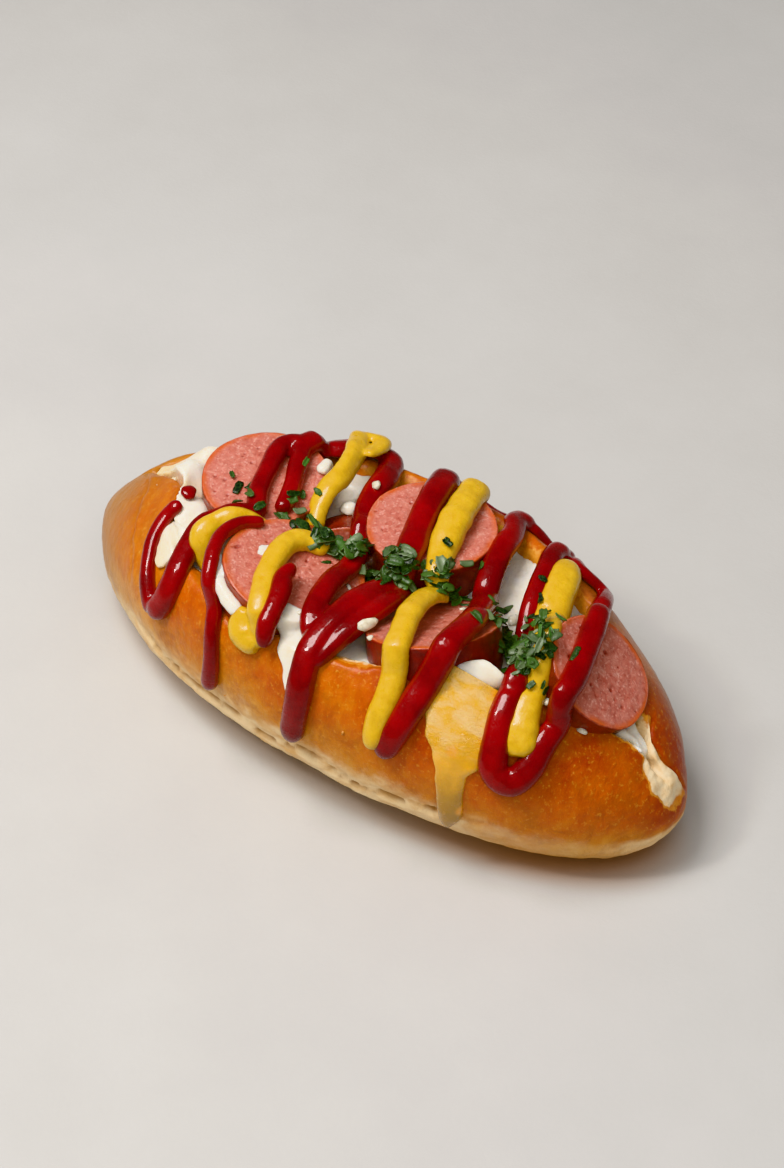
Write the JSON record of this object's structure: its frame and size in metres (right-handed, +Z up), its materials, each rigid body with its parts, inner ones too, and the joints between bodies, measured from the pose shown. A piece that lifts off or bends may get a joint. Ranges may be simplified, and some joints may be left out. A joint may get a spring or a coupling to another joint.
{
  "type": "filled sausage bread roll",
  "caption": "Soft split roll, long and low with pointed ends, filled with sausage slices in a creamy sauce under strands of ketchup and mustard and chopped herbs.",
  "frame": {"origin": "centre of the roll's flat base, on the floor", "axes": "+X along the roll's length, -Y out of the flank that shows its drips, +Z up"},
  "size_m": [0.1904, 0.0939, 0.0639],
  "materials": {
    "crust": "satin",
    "sausage": "satin",
    "cream": "gloss",
    "cheese": "gloss",
    "ketchup": "gloss",
    "mustard": "gloss",
    "herbs": "matt"
  },
  "bodies": {
    "root": {"roll": "crust", "filling": "cream", "sausage_slice_1": "sausage", "sausage_slice_2": "sausage", "sausage_slice_3": "sausage", "sausage_slice_4": "sausage", "sausage_slice_5": "sausage", "sausage_slice_6": "sausage", "cream_drip": "cream", "cream_tongue": "cream", "cheese_drip": "cheese", "ketchup": "ketchup", "ketchup_drop": "ketchup", "ketchup_left_drip": "ketchup", "ketchup_short_drip": "ketchup", "mustard_far_left": "mustard", "mustard_near_left": "mustard", "mustard_left": "mustard", "mustard_middle": "mustard", "mustard_right": "mustard", "herbs_middle": "herbs", "herbs_right": "herbs"}
  },
  "joints": []
}
